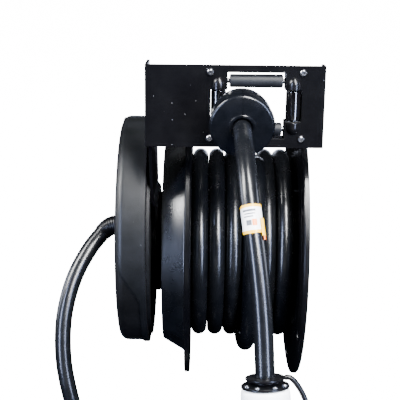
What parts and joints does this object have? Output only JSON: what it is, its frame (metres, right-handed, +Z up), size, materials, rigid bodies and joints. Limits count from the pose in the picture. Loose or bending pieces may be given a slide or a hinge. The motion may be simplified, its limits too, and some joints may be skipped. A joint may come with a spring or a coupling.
{
  "type": "extension cord reel",
  "caption": "Wall-mounted spring-return cable reel with a roller cable guide, a ball stop, a capped connector and a supply lead with its plug.",
  "frame": {"origin": "middle of the wall bracket's back face, where it lies on the wall", "axes": "+X along the drum's axle towards the free flange, +Y into the wall, +Z up"},
  "size_m": [0.2763, 0.516, 0.6579],
  "materials": {
    "powder_coat_black": "fine matt black powder coat on steel",
    "powder_coat_charcoal": "fine-textured charcoal powder coat on pressed steel",
    "powder_coat_orange_peel": "coarse glossy textured black powder coat",
    "gloss_paint_black": "gloss black enamel on spun and pressed steel",
    "zinc_steel": "bright zinc plate",
    "turned_steel": "fine turned or ground steel",
    "spring_steel": "oiled blued strip",
    "flex_rubber": "satin black rubber sheath",
    "roller_plastic": "dark grey moulded nylon",
    "ball_rubber": "satin blue-black moulded rubber",
    "gland_plastic": "moulded black nylon",
    "connector_white": "white moulded nylon",
    "contact_brass": "plain brass",
    "insulator": "moulded insulating resin",
    "brush_carbon": "pressed carbon"
  },
  "bodies": {
    "frame": {"wall_bracket": "powder_coat_black", "frame_arm": "powder_coat_black", "frame_bolt_1": "zinc_steel", "frame_bolt_2": "zinc_steel", "hub_housing": "powder_coat_black", "bearing_left": "turned_steel", "bearing_right": "turned_steel", "spring_arbor": "turned_steel", "cover_back_plate": "powder_coat_charcoal", "cover_shell": "powder_coat_charcoal", "brush_1": "brush_carbon", "brush_2": "brush_carbon", "brush_3": "brush_carbon", "brush_holder": "insulator", "terminal_block": "insulator", "supply_gland": "gland_plastic", "supply_relief": "flex_rubber", "supply_lead": "flex_rubber", "supply_coil": "flex_rubber", "supply_tie": "gland_plastic", "supply_plug": "gland_plastic", "plug_pins": "contact_brass", "guide_arm": "powder_coat_black", "guide_plate": "powder_coat_black", "cage_screw_1": "zinc_steel", "cage_screw_2": "zinc_steel", "cage_screw_3": "zinc_steel", "cage_screw_4": "zinc_steel", "roller_cage": "gloss_paint_black", "roller_pin_top": "turned_steel", "roller_pin_bottom": "turned_steel", "roller_pin_left": "turned_steel", "roller_pin_right": "turned_steel", "feed_cable": "flex_rubber", "ball_half_left": "ball_rubber", "ball_half_right": "ball_rubber", "pull_cable": "flex_rubber", "connector_gland": "gland_plastic", "connector_body": "connector_white", "dust_cap": "gland_plastic", "connector_strap": "gland_plastic"},
    "drum": {"drum_shaft": "turned_steel", "drum_core": "powder_coat_black", "left_flange": "gloss_paint_black", "right_flange": "gloss_paint_black", "spring_case": "powder_coat_orange_peel", "spring_case_lid": "powder_coat_orange_peel", "mainspring": "spring_steel", "ratchet_wheel": "turned_steel", "slip_ring_core": "insulator", "slip_ring_1": "contact_brass", "slip_ring_2": "contact_brass", "slip_ring_3": "contact_brass", "shaft_retainer": "zinc_steel", "wound_cable": "flex_rubber"},
    "pawl": {"pawl": "turned_steel"},
    "top_roller": {"roller_top": "roller_plastic"},
    "bottom_roller": {"roller_bottom": "roller_plastic"},
    "left_roller": {"roller_left": "roller_plastic"},
    "right_roller": {"roller_right": "roller_plastic"}
  },
  "joints": [
    {"name": "drum_turn", "type": "hinge", "parent": "frame", "child": "drum", "pos_m": [0, -0.175, 0.045], "axis": [1, 0, 0], "continuous": true},
    {"name": "pawl_swing", "type": "hinge", "parent": "frame", "child": "pawl", "pos_m": [-0.0393, -0.20517, 0.00639], "axis": [1, 0, 0], "range_deg": [0, 20]},
    {"name": "top_roller_turn", "type": "hinge", "parent": "frame", "child": "top_roller", "pos_m": [0.054, -0.293, 0.2447], "axis": [1, 0, 0], "continuous": true},
    {"name": "bottom_roller_turn", "type": "hinge", "parent": "frame", "child": "bottom_roller", "pos_m": [0.054, -0.293, 0.1973], "axis": [1, 0, 0], "continuous": true},
    {"name": "left_roller_turn", "type": "hinge", "parent": "frame", "child": "left_roller", "pos_m": [0.017, -0.293, 0.221], "axis": [0, 0, 1], "continuous": true},
    {"name": "right_roller_turn", "type": "hinge", "parent": "frame", "child": "right_roller", "pos_m": [0.091, -0.293, 0.221], "axis": [0, 0, 1], "continuous": true}
  ]
}
